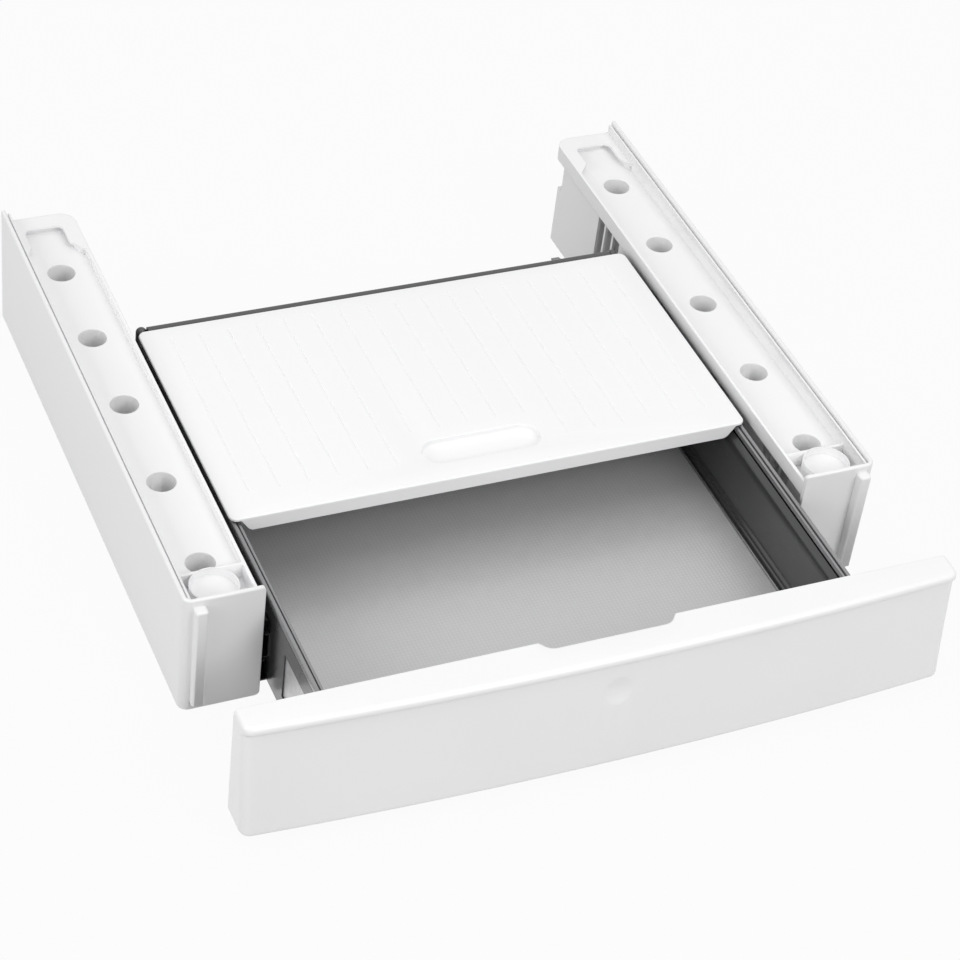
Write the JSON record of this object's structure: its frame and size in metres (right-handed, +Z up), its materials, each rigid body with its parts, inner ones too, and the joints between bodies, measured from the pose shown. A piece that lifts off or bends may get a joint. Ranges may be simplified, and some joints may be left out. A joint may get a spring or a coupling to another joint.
{
  "type": "stacking kit with drawer",
  "caption": "Stacking kit for a dryer on a washing machine: moulded columns with foot sockets, a telescopic drawer with a bowed fascia and a grooved sliding worktop.",
  "frame": {"origin": "under the middle of the kit's bounding box with the drawer as far out as in the picture, on the plane the columns stand on", "axes": "+X to the kit's right as seen from the front, +Y from the fascia to the back, +Z up"},
  "size_m": [0.596, 0.6779, 0.115],
  "materials": {
    "base": "fine textured moulding",
    "cover": "smooth satin moulding",
    "rail_steel": "black coated steel",
    "runner_steel": "black coated steel",
    "cage": "natural moulding",
    "balls": "polished",
    "fastener": "zinc plated",
    "drawer_steel": "dark grey coated steel",
    "zinc": "zinc plated sheet",
    "fascia": "smooth satin moulding",
    "worktop": "smooth satin moulding",
    "glide": "plain moulding"
  },
  "bodies": {
    "columns": {"left_base": "base", "right_base": "base", "left_cover": "cover", "right_cover": "cover", "front_cross_rail": "rail_steel", "rear_cross_rail": "rail_steel", "cross_rail_screws": "fastener", "left_runner_bracket": "rail_steel", "right_runner_bracket": "rail_steel", "left_fixed_rail": "runner_steel", "right_fixed_rail": "runner_steel", "runner_screws": "fastener"},
    "drawer": {"left_drawer_rail": "runner_steel", "right_drawer_rail": "runner_steel", "drawer_rail_screws": "fastener", "left_side_inner": "drawer_steel", "right_side_inner": "drawer_steel", "left_side_outer": "drawer_steel", "right_side_outer": "drawer_steel", "left_top_tube": "drawer_steel", "right_top_tube": "drawer_steel", "side_rivets": "fastener", "drawer_bottom": "zinc", "back_panel": "drawer_steel", "back_clip": "drawer_steel", "left_corner_post": "drawer_steel", "right_corner_post": "drawer_steel", "fascia": "fascia", "fascia_back": "fascia", "left_fascia_bracket": "zinc", "right_fascia_bracket": "zinc", "fascia_screws": "fastener"},
    "lid": {"worktop": "worktop", "left_glide": "glide", "right_glide": "glide"},
    "left_middle": {"left_middle_rail": "runner_steel"},
    "left_outer_race": {"left_outer_cage": "cage", "left_outer_balls": "balls"},
    "left_inner_race": {"left_inner_cage": "cage", "left_inner_balls": "balls"},
    "right_middle": {"right_middle_rail": "runner_steel"},
    "right_outer_race": {"right_outer_cage": "cage", "right_outer_balls": "balls"},
    "right_inner_race": {"right_inner_cage": "cage", "right_inner_balls": "balls"}
  },
  "joints": [
    {"name": "drawer_slide", "type": "slide", "parent": "columns", "child": "drawer", "axis": [0, -1, 0], "range_m": [-0.107, 0.293]},
    {"name": "left_middle_slide", "type": "slide", "parent": "columns", "child": "left_middle", "axis": [0, -1, 0], "range_m": [-0.0536, 0.1466]},
    {"name": "left_outer_race_slide", "type": "slide", "parent": "columns", "child": "left_outer_race", "axis": [0, -1, 0], "range_m": [-0.02685, 0.07335]},
    {"name": "left_inner_race_slide", "type": "slide", "parent": "columns", "child": "left_inner_race", "axis": [0, -1, 0], "range_m": [-0.08035, 0.21985]},
    {"name": "right_middle_slide", "type": "slide", "parent": "columns", "child": "right_middle", "axis": [0, -1, 0], "range_m": [-0.0536, 0.1466]},
    {"name": "right_outer_race_slide", "type": "slide", "parent": "columns", "child": "right_outer_race", "axis": [0, -1, 0], "range_m": [-0.02685, 0.07335]},
    {"name": "right_inner_race_slide", "type": "slide", "parent": "columns", "child": "right_inner_race", "axis": [0, -1, 0], "range_m": [-0.08035, 0.21985]},
    {"name": "worktop_slide", "type": "slide", "parent": "drawer", "child": "lid", "axis": [0, -1, 0], "range_m": [0, 0.2115]}
  ],
  "couplings": [
    {"joint": "left_middle_slide", "follows": "drawer_slide", "ratio": 0.5},
    {"joint": "left_outer_race_slide", "follows": "drawer_slide", "ratio": 0.25},
    {"joint": "left_inner_race_slide", "follows": "drawer_slide", "ratio": 0.75},
    {"joint": "right_middle_slide", "follows": "drawer_slide", "ratio": 0.5},
    {"joint": "right_outer_race_slide", "follows": "drawer_slide", "ratio": 0.25},
    {"joint": "right_inner_race_slide", "follows": "drawer_slide", "ratio": 0.75}
  ]
}
